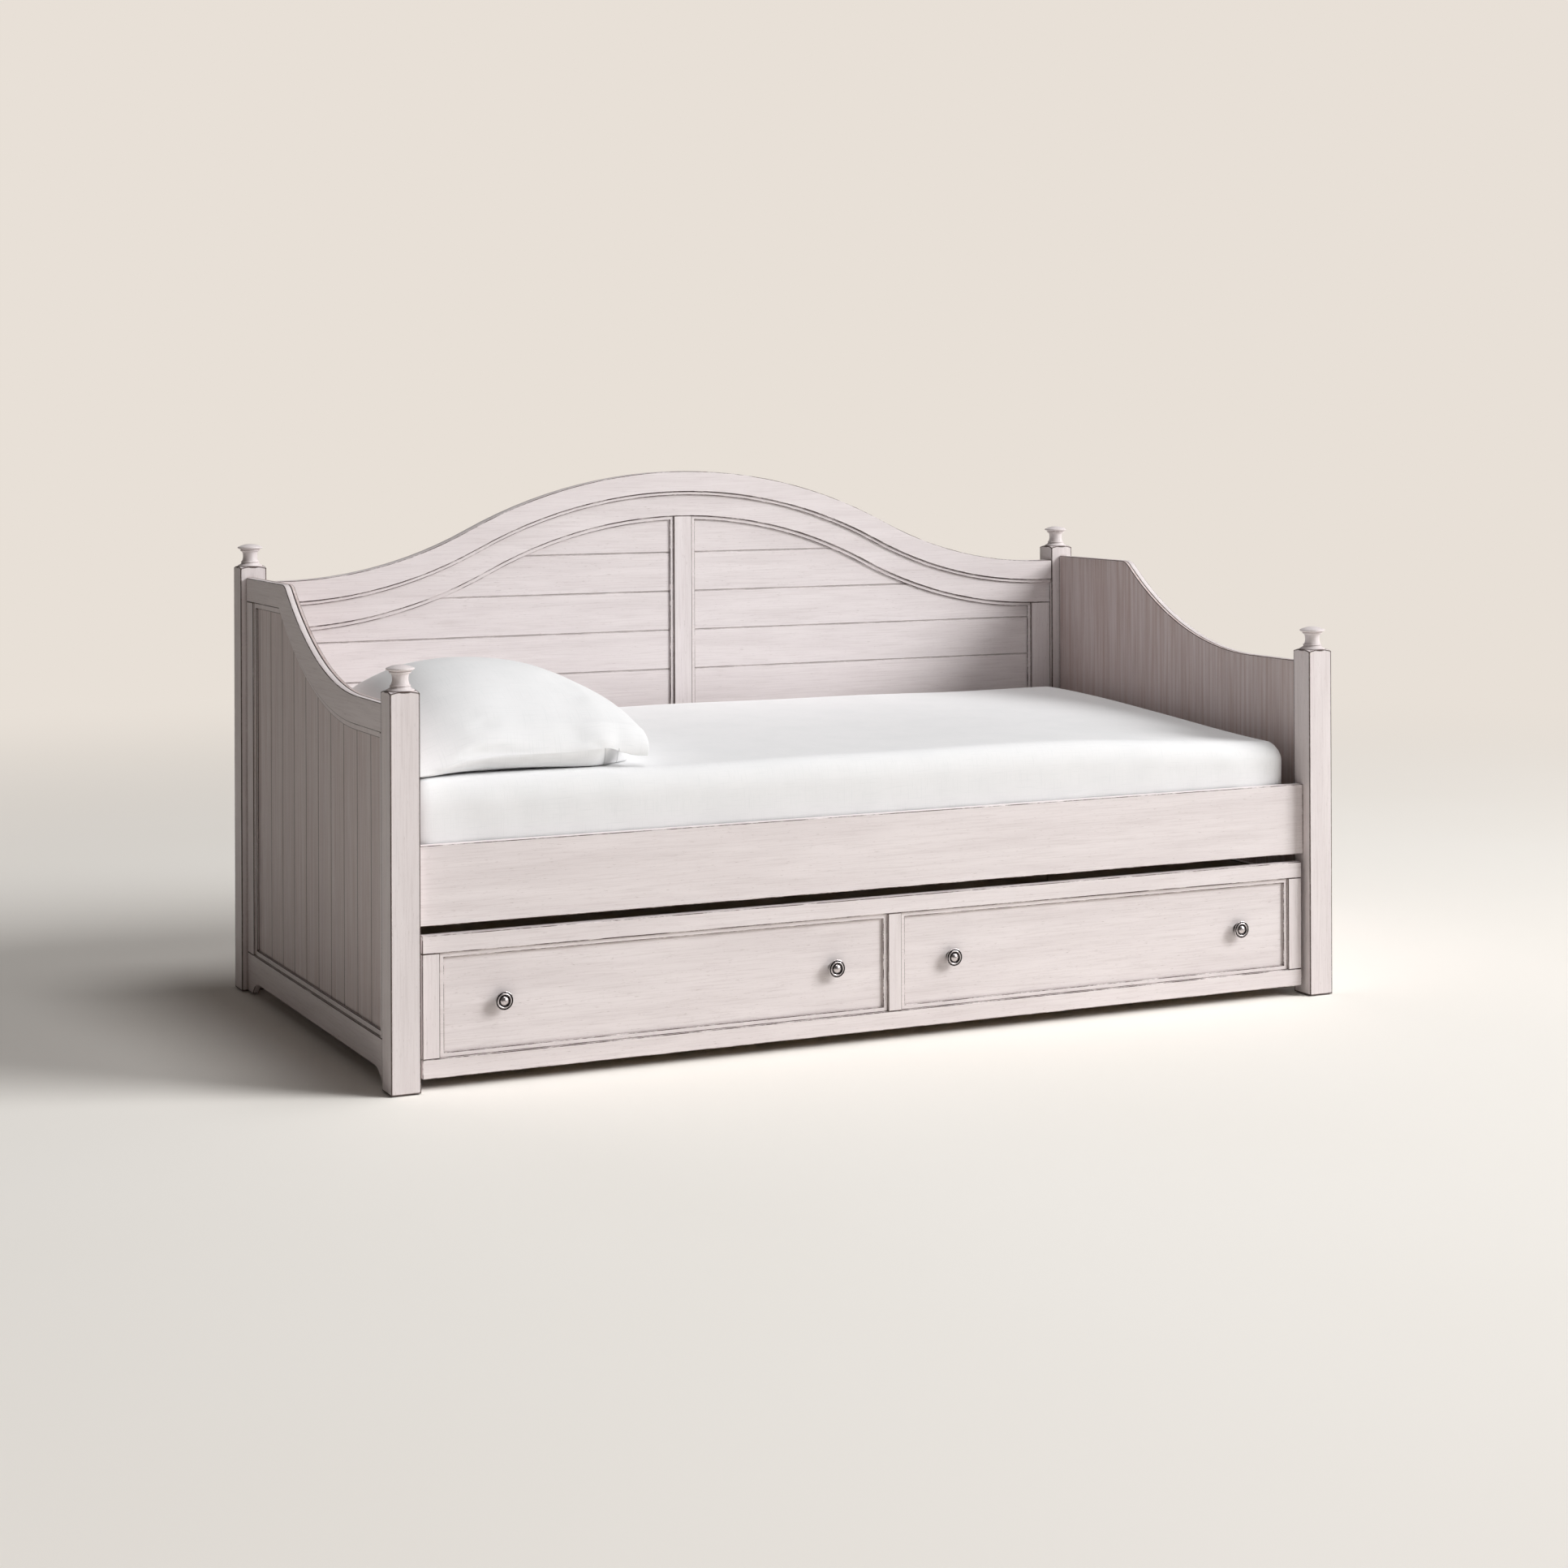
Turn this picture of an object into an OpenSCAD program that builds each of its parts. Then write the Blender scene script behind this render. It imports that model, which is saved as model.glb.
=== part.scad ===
// Twin daybed with an arched plank back, swept side arms and a trundle that
// rolls out from under the front rail. The origin is on the floor, under the
// middle of the bed. +X runs along the bed, the front faces -Y, +Z is up.

/* [Overall] */
// Length over the posts
bed_length = 2100; // [2080:5:2160]
// Depth over the posts
bed_depth = 1126; // [1116:2:1140]
// Height of the crest at its middle
crest_height = 1120; // [1080:5:1160]

/* [Posts] */
// Side of the square posts
post_size = 57; // [54:1:62]
// Height of the front posts at the middle of their arched tops
front_post_height = 742; // [725:1:780]
// Height of the back posts at the middle of their arched tops
back_post_height = 924; // [910:1:960]
// Rise of the arch on each face of a post's top
post_arch_rise = 4.5; // [3:0.5:6]
// Thickness of the glide under each post
glide_thickness = 2; // [1:0.5:4]

/* [Finials] */
// Height of a finial above its post
finial_height = 47.5; // [44:0.5:56]
// Radius of the finial's foot
finial_foot_radius = 26.5; // [25:0.5:27]
// Radius at the narrowest part of the neck
finial_neck_radius = 15.2; // [14:0.1:17]
// Radius of the dowel that holds the finial
finial_dowel_radius = 6; // [4:0.5:8]

/* [Arms] */
// Distance of the arm's outer face behind the post's outer face
arm_inset = 13; // [8:1:16]
// Thickness of the arm's outer frame
arm_frame_thickness = 13.5; // [13:0.5:15]
// Thickness of the grooved boarding
boarding_thickness = 4.5; // [4:0.5:6]
// Thickness of the plain inner panel
inner_panel_thickness = 8; // [6:0.5:12]
// Height of the arm beside the back post
arm_high = 899; // [890:1:905]
// Height of the arm beside the front post
arm_low = 712.5; // [700:0.5:720]
// Radius of the arm's sweep
sweep_radius = 800; // [780:5:820]
// Where the sweep becomes level, measured from the middle of the bed
sweep_start_y = -310; // [-330:5:-290]
// Radius of the rounded corner at the top of the sweep
sweep_corner_radius = 45; // [30:1:60]
// Radius of the sweep along the lower edge of the arm's top rail
rail_sweep_radius = 830; // [810:5:850]
// Where that lower sweep becomes level
rail_sweep_start_y = -285; // [-300:5:-270]
// Depth of the arm's top rail at its high end
arm_rail_high_depth = 51; // [45:1:60]
// Depth of the arm's top rail at its low end
arm_rail_low_depth = 55; // [45:1:60]
// Width of the arm's stiles
arm_stile_width = 51; // [40:1:60]
// Height of the top edge of the arm's bottom rail
arm_bottom_rail_top = 87; // [80:1:100]
// Height of the long arch under the bottom rail
foot_arch_height = 29; // [20:1:35]
// Width of each bracket foot where it meets the arch
bracket_foot_width = 91; // [80:1:110]
// Radius of the corner between the arch and a bracket foot
bracket_corner_radius = 61; // [45:1:70]
// Gap between a bracket foot and the floor
bracket_gap = 3; // [2:1:5]
// Distance between the grooves of the boarding
groove_pitch = 89; // [80:1:95]
// Distance of the middle groove from the middle of the bed
groove_middle_y = -16; // [-20:1:0]
// Width of the moulding round the boarding
arm_moulding_width = 12; // [8:1:16]

/* [Back] */
// Height of the crest beside the posts
crest_end_height = 889; // [880:1:895]
// Half of the length that the crest's curve runs over
crest_run = 955; // [900:5:980]
// Share of the curve that is convex
convex_share = 0.55; // [0.5:0.01:0.6]
// Depth of the crest rail's face
crest_band = 47; // [40:1:55]
// Depth of the arched rail's face under the crest rail
arch_band = 57; // [50:1:65]
// Thickness of the crest rail
crest_thickness = 34; // [30:1:36]
// Thickness of the back's frame
back_frame_thickness = 22; // [20:1:25]
// Distance of the frame's face behind the back posts' front faces
back_frame_inset = 8.5; // [6:0.5:10]
// Thickness of the planks
plank_thickness = 10; // [8:1:12]
// Distance of the planks' faces behind the frame's face
plank_recess = 7.5; // [6:0.5:9]
// Height of one plank
plank_height = 90.7; // [85:0.1:95]
// Height of the highest joint between planks
top_plank_joint = 931; // [925:1:935]
// Width of the back's middle stile
centre_stile_width = 45; // [40:1:55]
// Width of the back's end stiles
end_stile_width = 54; // [45:1:60]
// Width of the moulding round the planks
back_moulding_width = 9; // [6:1:12]

/* [Mattress support] */
// Height of the lower edge of the front rail
rail_bottom = 303; // [300:1:310]
// Height of the front rail's board
rail_height = 149; // [140:1:160]
// Thickness of the front rail
rail_thickness = 22; // [20:1:25]
// Distance of the front rail's face behind the posts' front faces
rail_inset = 25; // [20:1:28]
// Number of slats under the mattress
slat_count = 14; // [10:1:16]
// Width of a slat
slat_width = 70; // [60:1:90]
// Thickness of a slat
slat_thickness = 19; // [16:1:22]
// Side of the square ledgers that carry the slats
ledger_size = 24; // [20:1:30]
// Height of the slats' top faces
slat_top = 358; // [350:1:362]

/* [Mattress and pillow] */
// Length of the mattress
mattress_length = 1960; // [1900:2:1966]
// Width of the mattress
mattress_width = 984; // [960:2:990]
// Thickness of the mattress
mattress_thickness = 222; // [180:1:230]
// Length of the pillow, across the bed
pillow_length = 660; // [600:5:700]
// Width of the pillow, along the bed
pillow_width = 510; // [450:5:530]
// Height of the pillow's side walls
pillow_edge = 35; // [20:1:40]
// Rise of the pillow above its side walls
pillow_rise = 145; // [100:1:150]

/* [Trundle] */
// Height of the lower edge of the trundle's front
trundle_bottom = 22; // [18:1:26]
// Height of the top of the trundle's front
trundle_top = 286.5; // [280:0.5:292]
// Gap between the trundle's front and each post
trundle_side_gap = 9; // [6:1:12]
// Distance of the trundle's face behind the posts' front faces
trundle_inset = 18.5; // [16:0.5:20]
// Thickness of the trundle's front frame
trundle_frame_thickness = 22; // [20:1:25]
// Height of the front's top rail
trundle_top_rail = 33.5; // [30:0.5:40]
// Height of the front's bottom rail
trundle_bottom_rail = 36; // [30:1:40]
// Width of the front's end stiles
trundle_end_stile = 34; // [30:1:45]
// Width of the front's middle stile
trundle_centre_stile_width = 30; // [26:1:40]
// Distance of the flat panels behind the front's face
trundle_panel_recess = 9.5; // [6:0.5:10]
// Width of the moulding round each panel
trundle_moulding_width = 9.5; // [6:0.5:12]
// Depth of the trundle from its face to the outside of its back board
trundle_depth = 1032; // [1025:1:1040]
// Thickness of the side and back boards
trundle_board = 18; // [15:1:20]
// Height of the trundle slats' top faces
trundle_slat_top = 85; // [85:1:90]
// Distance of the two inner knobs from the middle
inner_knob_x = 132; // [110:1:160]
// Distance of the two outer knobs from the middle
outer_knob_x = 826; // [780:1:860]
// Radius of a knob
knob_radius = 17.8; // [15:0.1:19]
// Radius of a wheel
wheel_radius = 25; // [24:0.5:26]
// Width of a wheel
wheel_width = 20; // [16:1:24]
// Radius of a wheel's axle
axle_radius = 4; // [3:0.5:5]
// Gap all round between an axle and its wheel
axle_gap = 0.05; // [0.03:0.01:0.1]

/* [Hidden] */
$fn = 64;
SWEEP_FACETS = 240;

WHITEWASH = "#E2D9D7";
PINE = "#D8BE94";
LINEN = "#F2F2F2";
PEWTER = "#8C8782";
STEEL = "#A9ABAE";
NYLON = "#3A3A3C";

// Where the posts stand and what lies between them
post_x = (bed_length - post_size) / 2;
post_y = (bed_depth - post_size) / 2;
between_x = bed_length / 2 - post_size;
between_y = bed_depth / 2 - post_size;
front_y = -bed_depth / 2;
small = 0.01;
finial_dowel_length = 30;
finial_seat = 2.5;

// The crest's two tangent arcs: a convex one over the middle, a concave one each side
crest_drop = crest_height - crest_end_height;
crest_turn = 2 * atan(crest_drop / crest_run);
crest_radii = crest_run / sin(crest_turn);
convex_radius = convex_share * crest_radii;
concave_radius = crest_radii - convex_radius;
convex_z = crest_height - convex_radius;
concave_z = crest_end_height + concave_radius;
back_frame_y = between_y + back_frame_inset;
crest_y = between_y + 1;
plank_y = back_frame_y + plank_recess;
plank_rows = 6;
plank_gap = 0.2;
plank_groove_width = 3.2;
plank_groove_depth = 2;
back_rail_top = top_plank_joint - (plank_rows - 1) * plank_height;
frame_offset = crest_band + arch_band;

// The arm's layers, as distances inwards from its outer face
arm_x = -bed_length / 2 + arm_inset;
boarding_depth = arm_frame_thickness - boarding_thickness;
moulding_depth = 4;
arm_thickness = arm_frame_thickness + inner_panel_thickness;
arm_panel_y = between_y - arm_stile_width;
groove_half_width = 1.6;
groove_depth = 2.2;
groove_side_count = 4;

// Rails, ledgers and the hooks that join the rails to the posts
rail_y = front_y + rail_inset;
rail_back_y = rail_y + rail_thickness;
ledger_top = slat_top - slat_thickness;
hook_plate = 3;
hook_tab = 10;
hook_width = 14;
hook_bottom = rail_bottom + 22;
hook_height = 110;
hook_tab_height = 22;

// Mattress and pillow
soft_gap = 0.3;
mattress_end_gap = 4;
mattress_x = mattress_end_gap + mattress_length / 2 - between_x;
mattress_y = rail_back_y + 2 + mattress_width / 2;
mattress_top = slat_top + soft_gap + mattress_thickness;
mattress_corner = 40;
mattress_edge = 40;
pillow_crown = 12;
pillow_x = -755;
pillow_y = -160;
pillow_bottom = mattress_top + soft_gap;

// Trundle
trundle_y = front_y + trundle_inset;
trundle_half = between_x - trundle_side_gap;
trundle_inner_y = trundle_y + trundle_frame_thickness;
trundle_back_y = trundle_y + trundle_depth;
trundle_side_x = trundle_half - 9;
trundle_side_height = 262;
trundle_board_bottom = 45;
panel_y = trundle_y + trundle_panel_recess;
panel_thickness = 12;
panel_low = trundle_bottom + trundle_bottom_rail;
panel_high = trundle_top - trundle_top_rail;
panel_near = trundle_centre_stile_width / 2;
panel_far = trundle_half - trundle_end_stile;
trundle_slat_thickness = 18;
trundle_slat_width = 90;
trundle_slat_count = 11;
trundle_slat_span = 1760;
trundle_ledger = 22;
trundle_slat_bottom = trundle_slat_top - trundle_slat_thickness;
knob_z = 154.5;
screw_radius = 2;
screw_reach = 12;
screw_head_radius = 4;
screw_head = 2.5;
wheel_x = trundle_slat_span / 2;
wheel_front_y = -430;
wheel_back_y = 380;
fork_cheek = 2.5;
fork_gap = 1.5;
fork_plate = 3;
fork_half = wheel_width / 2 + fork_gap;

// Points of an arc about the centre, from one angle to another
function arc(centre, radius, from, to, steps) =
    [for (i = [0:steps]) centre + radius * [cos(from + (to - from) * i / steps),
                                            sin(from + (to - from) * i / steps)]];

// A box between two corners
module box(low, high) {
    translate(low) cube(high - low);
}

// A rectangle between two corners
module plate(low, high) {
    translate(low) square(high - low);
}

// An outline drawn in Y and Z, thickened along X
module slab_x(from, to) {
    translate([from, 0, 0]) rotate([90, 0, 90]) linear_extrude(to - from) children();
}

// An outline drawn in X and Z, thickened along Y
module slab_y(from, to) {
    translate([0, to, 0]) rotate([90, 0, 0]) linear_extrude(to - from) children();
}

// What is drawn for the left, or its mirror image on the right
module sided(side) {
    mirror([side > 0 ? 1 : 0, 0, 0]) children();
}

// ---- posts and finials ----

// Two low cylinder caps crossing, so that each face of the post ends in an arch
module post_crown(height) {
    half = post_size / 2;
    crown_radius = (half * half + post_arch_rise * post_arch_rise) / (2 * post_arch_rise);
    for (turn = [0, 90])
        rotate([0, 0, turn])
            intersection() {
                box([-half, -half, height - post_arch_rise], [half, half, height + small]);
                translate([0, 0, height - crown_radius]) rotate([90, 0, 0])
                    cylinder(h = 2 * post_size, r = crown_radius, center = true, $fn = SWEEP_FACETS);
            }
}

module post(side, end, height) {
    half = post_size / 2;
    color(WHITEWASH)
    difference() {
        translate([side * post_x, end * post_y, 0]) {
            box([-half, -half, glide_thickness], [half, half, height - post_arch_rise]);
            post_crown(height);
        }
        translate([side * post_x, end * post_y, 0]) {
            translate([0, 0, height - finial_dowel_length])
                cylinder(h = finial_dowel_length + 1, r = finial_dowel_radius);
            translate([0, 0, height - finial_seat])
                cylinder(h = finial_seat + 1, r = finial_foot_radius);
        }
        rail_hook(side, end);
    }
}

// Turned finial: foot, cove, ring, waisted neck, collar and a round cap with a low dome
module finial(side, end, height) {
    rim_radius = 2;
    rim_x = finial_foot_radius - 1.8;
    rim_z = finial_height - 7.7;
    neck_z = rim_z - 18.5;
    neck_curve = 26;
    neck_turn = 22;
    dome_rise = finial_height - rim_z - rim_radius;
    dome_radius = (rim_x * rim_x + dome_rise * dome_rise) / (2 * dome_rise);
    dome_turn = asin(rim_x / dome_radius);
    color(WHITEWASH)
    translate([side * post_x, end * post_y, height])
        rotate_extrude() polygon(concat(
            [[0, -finial_dowel_length], [finial_dowel_radius, -finial_dowel_length],
             [finial_dowel_radius, -finial_seat], [finial_foot_radius, -finial_seat],
             [finial_foot_radius, 0.8],
             [finial_foot_radius - 0.9, 1.8], [finial_foot_radius - 2.6, 2.2]],
            arc([finial_foot_radius - 0.3, 10.4], 8.2, 252, 200, 6),
            [[finial_neck_radius + 4.4, 7.9], [finial_neck_radius + 4.7, 8.9],
             [finial_neck_radius + 4, 9.8], [finial_neck_radius + 2.3, 10.3]],
            arc([finial_neck_radius + neck_curve, neck_z], neck_curve, 180 + neck_turn, 180 - neck_turn, 8),
            [[finial_neck_radius + 4, rim_z - 8.2], [finial_neck_radius + 5.4, rim_z - 7],
             [finial_neck_radius + 5.6, rim_z - 5.6], [finial_neck_radius + 4.8, rim_z - 4.6],
             [rim_x - 2, rim_z - 3.2]],
            arc([rim_x, rim_z], rim_radius, -60, 90, 6),
            arc([0, finial_height - dome_radius], dome_radius, 90 - dome_turn * 0.9, 90, 6)
        ));
}

module foot_glides() {
    color(NYLON)
    for (side = [-1, 1], end = [-1, 1])
        translate([side * post_x, end * post_y, 0]) cylinder(h = glide_thickness, r = 16);
}

// ---- arms ----

// What lies under a level line, a concave sweep down and a lower level line
module under_sweep(high, low, radius, start_y, half) {
    difference() {
        plate([-half, 0], [half, high]);
        translate([start_y, low + radius]) circle(r = radius, $fn = SWEEP_FACETS);
        plate([-half - 1, low], [start_y, high + 1]);
    }
}

// The arm's whole outline, with the corner at the top of the sweep rounded
module arm_outline() {
    centre_z = arm_low + sweep_radius;
    corner_z = arm_high - sweep_corner_radius;
    reach = sweep_radius + sweep_corner_radius;
    corner_y = sweep_start_y + sqrt(reach * reach - (centre_z - corner_z) * (centre_z - corner_z));
    touch = [sweep_start_y, centre_z]
        + sweep_radius / reach * [corner_y - sweep_start_y, corner_z - centre_z];
    difference() {
        under_sweep(arm_high, arm_low, sweep_radius, sweep_start_y, between_y);
        difference() {
            polygon([touch, [corner_y, arm_high], [corner_y, arm_high + 1], [touch[0] - 20, arm_high + 1]]);
            translate([corner_y, corner_z]) circle(r = sweep_corner_radius);
        }
    }
}

// What lies under the top rail's lower edge, drawn in by an inset all round
module under_arm_rail(inset, half) {
    under_sweep(arm_high - arm_rail_high_depth - inset, arm_low - arm_rail_low_depth - inset,
                rail_sweep_radius + inset, rail_sweep_start_y, half);
}

// The opening between the arm's rails and stiles, drawn in by an inset
module arm_opening(inset) {
    difference() {
        under_arm_rail(inset, arm_panel_y - inset);
        plate([-bed_depth, -1], [bed_depth, arm_bottom_rail_top + inset]);
    }
}

// One layer of an arm, between two distances inwards from the outer face
module arm_layer(side, from, to) {
    sided(side) slab_x(arm_x + from, arm_x + to) children();
}

module arm_top_rail(side) {
    color(WHITEWASH) arm_layer(side, 0, arm_frame_thickness)
        difference() {
            arm_outline();
            under_arm_rail(0, between_y + 1);
        }
}

// Bottom rail, with a long low arch that leaves a bracket foot at each end
module arm_bottom_rail(side) {
    arch_end = between_y - bracket_foot_width;
    color(WHITEWASH) arm_layer(side, 0, arm_frame_thickness)
        difference() {
            plate([-between_y, bracket_gap], [between_y, arm_bottom_rail_top]);
            plate([-arch_end, 0], [arch_end, foot_arch_height]);
            for (end = [-1, 1])
                translate([end * arch_end, foot_arch_height - bracket_corner_radius])
                    circle(r = bracket_corner_radius, $fn = SWEEP_FACETS);
        }
}

module arm_stile(side, end) {
    color(WHITEWASH) arm_layer(side, 0, arm_frame_thickness)
        difference() {
            under_arm_rail(0, between_y);
            plate([-bed_depth, -1], [bed_depth, arm_bottom_rail_top]);
            plate([end * arm_panel_y - (end > 0 ? bed_depth : 0), 0],
                  [end * arm_panel_y + (end > 0 ? 0 : bed_depth), arm_high]);
        }
}

module arm_boarding(side) {
    color(WHITEWASH) sided(side)
        difference() {
            slab_x(arm_x + boarding_depth, arm_x + arm_frame_thickness) arm_opening(0);
            for (k = [-groove_side_count:groove_side_count])
                translate([arm_x + boarding_depth, groove_middle_y + k * groove_pitch, 0])
                    linear_extrude(arm_high) polygon([
                        [-small, -groove_half_width], [groove_depth, 0], [-small, groove_half_width]]);
        }
}

module arm_inner_panel(side) {
    color(WHITEWASH) arm_layer(side, arm_frame_thickness, arm_thickness)
        difference() {
            arm_outline();
            plate([-bed_depth, -1], [bed_depth, foot_arch_height + 2]);
        }
}

module arm_mouldings() {
    color(WHITEWASH)
    for (side = [-1, 1])
        arm_layer(side, moulding_depth, boarding_depth)
            difference() {
                arm_opening(0);
                arm_opening(arm_moulding_width);
            }
}

// ---- back ----

// What lies under the crest's curve, drawn in by an inset
module under_crest(inset) {
    joint_x = (convex_radius - inset) * sin(crest_turn);
    joint_z = convex_z + (convex_radius - inset) * cos(crest_turn);
    intersection() {
        plate([-joint_x, 0], [joint_x, crest_height]);
        translate([0, convex_z]) circle(r = convex_radius - inset, $fn = SWEEP_FACETS);
    }
    for (side = [0, 1])
        mirror([side, 0]) {
            difference() {
                plate([joint_x - small, 0], [crest_run, joint_z]);
                translate([crest_run, concave_z]) circle(r = concave_radius + inset, $fn = SWEEP_FACETS);
            }
            plate([crest_run, 0], [between_x, crest_end_height - inset]);
        }
}

module crest_rail() {
    color(WHITEWASH) slab_y(crest_y, crest_y + crest_thickness)
        difference() {
            under_crest(0);
            under_crest(crest_band);
        }
}

module arch_rail() {
    color(WHITEWASH) slab_y(back_frame_y, back_frame_y + back_frame_thickness)
        difference() {
            under_crest(crest_band);
            under_crest(frame_offset);
        }
}

// An upright of the back, from the back rail to the arched rail
module back_stile(from, to) {
    color(WHITEWASH) slab_y(back_frame_y, back_frame_y + back_frame_thickness)
        intersection() {
            under_crest(frame_offset);
            plate([from, back_rail_top], [to, crest_height]);
        }
}

// The opening on the right that the planks fill, drawn in by an inset
module plank_opening(inset) {
    intersection() {
        under_crest(frame_offset + inset);
        plate([centre_stile_width / 2 + inset, back_rail_top + inset],
              [between_x - end_stile_width - inset, crest_height]);
    }
}

// Level boards, each cut to the arch, with a V groove where two of them meet
module back_planks(side) {
    color(WHITEWASH) sided(-side)
        difference() {
            slab_y(plank_y, plank_y + plank_thickness)
                for (row = [0:plank_rows - 1])
                    intersection() {
                        plank_opening(0);
                        plate([0, back_rail_top + row * plank_height + plank_gap / 2],
                              [between_x, back_rail_top + (row + 1) * plank_height - plank_gap / 2]);
                    }
            for (row = [1:plank_rows - 1])
                translate([0, plank_y, back_rail_top + row * plank_height])
                    slab_x(0, between_x) polygon([
                        [-small, -plank_groove_width / 2], [plank_groove_depth, 0],
                        [-small, plank_groove_width / 2]]);
        }
}

// Mouldings round the planks, and a bead under the crest rail
module back_mouldings() {
    color(WHITEWASH) {
        for (side = [-1, 1])
            sided(side) slab_y(plank_y - 4, plank_y)
                difference() {
                    plank_opening(0);
                    plank_opening(back_moulding_width);
                }
        slab_y(back_frame_y - 4, back_frame_y)
            difference() {
                under_crest(crest_band);
                under_crest(crest_band + 8);
            }
    }
}

// ---- rails, hooks and slats ----

// The steel plate in one rail's end, with two tabs that drop into the post
module rail_hook(side, end) {
    y = end < 0 ? rail_y + rail_thickness / 2 : back_frame_y + back_frame_thickness / 2;
    sided(side) translate([-between_x, y - hook_width / 2, hook_bottom]) {
        cube([hook_plate, hook_width, hook_height]);
        for (z = [hook_tab_height / 2, hook_height - 1.5 * hook_tab_height])
            translate([-hook_tab, 2, z])
                cube([hook_tab + hook_plate, hook_width - 4, hook_tab_height]);
    }
}

module rail_hooks() {
    color(STEEL)
    for (side = [-1, 1], end = [-1, 1])
        rail_hook(side, end);
}

module front_rail() {
    color(WHITEWASH)
    difference() {
        box([-between_x, rail_y, rail_bottom], [between_x, rail_back_y, rail_bottom + rail_height]);
        for (side = [-1, 1])
            rail_hook(side, -1);
    }
}

module back_rail() {
    color(WHITEWASH)
    difference() {
        box([-between_x, back_frame_y, rail_bottom],
            [between_x, back_frame_y + back_frame_thickness, back_rail_top]);
        for (side = [-1, 1])
            rail_hook(side, 1);
    }
}

module slat_ledgers() {
    color(PINE)
    for (y = [rail_back_y, back_frame_y - ledger_size])
        box([-between_x + 20, y, ledger_top - ledger_size], [between_x - 20, y + ledger_size, ledger_top]);
}

module bed_slats() {
    span = 2 * (between_x - 20) - slat_width;
    color(PINE)
    for (i = [0:slat_count - 1])
        translate([-span / 2 + i * span / (slat_count - 1), 0, 0])
            box([-slat_width / 2, rail_back_y + 1, ledger_top], [slat_width / 2, back_frame_y - 1, slat_top]);
}

// ---- mattress and pillow ----

// A rectangle about the origin with rounded corners
module rounded_plate(size, radius) {
    inner = size / 2 - [radius, radius];
    square([size[0], 2 * inner[1]], center = true);
    square([2 * inner[0], size[1]], center = true);
    for (sx = [-1, 1], sy = [-1, 1])
        translate([sx * inner[0], sy * inner[1]]) circle(r = radius);
}

// Lies against the left arm's posts, with the slack at its right end
module mattress() {
    size = [mattress_length, mattress_width, mattress_thickness];
    color(LINEN) translate([mattress_x, mattress_y, mattress_top - mattress_thickness / 2])
        intersection() {
            linear_extrude(size[2], center = true) rounded_plate([size[0], size[1]], mattress_corner);
            rotate([90, 0, 0]) linear_extrude(size[1] + 2, center = true)
                rounded_plate([size[0], size[2]], mattress_edge);
            rotate([90, 0, 90]) linear_extrude(size[0] + 2, center = true)
                rounded_plate([size[1], size[2]], mattress_edge);
        }
}

// A low side wall with an arched top over it
module pillow_outline(width, rise) {
    half = width / 2;
    radius = (half * half + rise * rise) / (2 * rise);
    plate([-half, 0], [half, pillow_edge]);
    intersection() {
        plate([-half, pillow_edge], [half, pillow_edge + rise]);
        translate([0, pillow_edge + rise - radius]) circle(r = radius, $fn = SWEEP_FACETS);
    }
}

module pillow() {
    color(LINEN) translate([pillow_x, pillow_y, pillow_bottom])
        intersection() {
            rotate([90, 0, 0]) linear_extrude(pillow_length, center = true)
                pillow_outline(pillow_width, pillow_rise + pillow_crown);
            rotate([90, 0, 90]) linear_extrude(pillow_width, center = true)
                pillow_outline(pillow_length, pillow_rise);
        }
}

// ---- trundle ----

// A board of the trundle's front frame
module front_board(low, high) {
    color(WHITEWASH) slab_y(trundle_y, trundle_inner_y) plate(low, high);
}

module trundle_top_rail() {
    front_board([-trundle_half, panel_high], [trundle_half, trundle_top]);
}

module trundle_bottom_rail() {
    front_board([-trundle_half, trundle_bottom], [trundle_half, panel_low]);
}

module trundle_centre_stile() {
    front_board([-panel_near, panel_low], [panel_near, panel_high]);
}

module trundle_end_stiles() {
    for (side = [-1, 1])
        sided(side) front_board([-trundle_half, panel_low], [-panel_far, panel_high]);
}

// A screw from behind the panel into the knob
module knob_screw(x) {
    translate([x, panel_y + panel_thickness, knob_z]) rotate([90, 0, 0])
        cylinder(h = panel_thickness + screw_reach, r = screw_radius);
}

module trundle_panel(side) {
    color(WHITEWASH)
    difference() {
        sided(side) box([-panel_far, panel_y, panel_low],
                        [-panel_near, panel_y + panel_thickness, panel_high]);
        for (x = [inner_knob_x, outer_knob_x])
            knob_screw(side * x);
    }
}

module trundle_mouldings() {
    width = trundle_moulding_width;
    color(WHITEWASH)
    for (side = [-1, 1])
        sided(side) slab_y(trundle_y + 4.5, panel_y)
            difference() {
                plate([-panel_far, panel_low], [-panel_near, panel_high]);
                plate([-panel_far + width, panel_low + width], [-panel_near - width, panel_high - width]);
            }
}

module trundle_side(side) {
    color(WHITEWASH) sided(side)
        box([-trundle_side_x, trundle_inner_y, trundle_board_bottom],
            [-trundle_side_x + trundle_board, trundle_back_y, trundle_side_height]);
}

module trundle_back() {
    inner_x = trundle_side_x - trundle_board;
    color(WHITEWASH)
    box([-inner_x, trundle_back_y - trundle_board, trundle_board_bottom],
        [inner_x, trundle_back_y, trundle_side_height]);
}

module trundle_ledgers() {
    inner_x = trundle_side_x - trundle_board;
    color(PINE)
    for (y = [trundle_inner_y, trundle_back_y - trundle_board - trundle_ledger])
        box([-inner_x, y, trundle_board_bottom], [inner_x, y + trundle_ledger, trundle_slat_bottom]);
}

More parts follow.
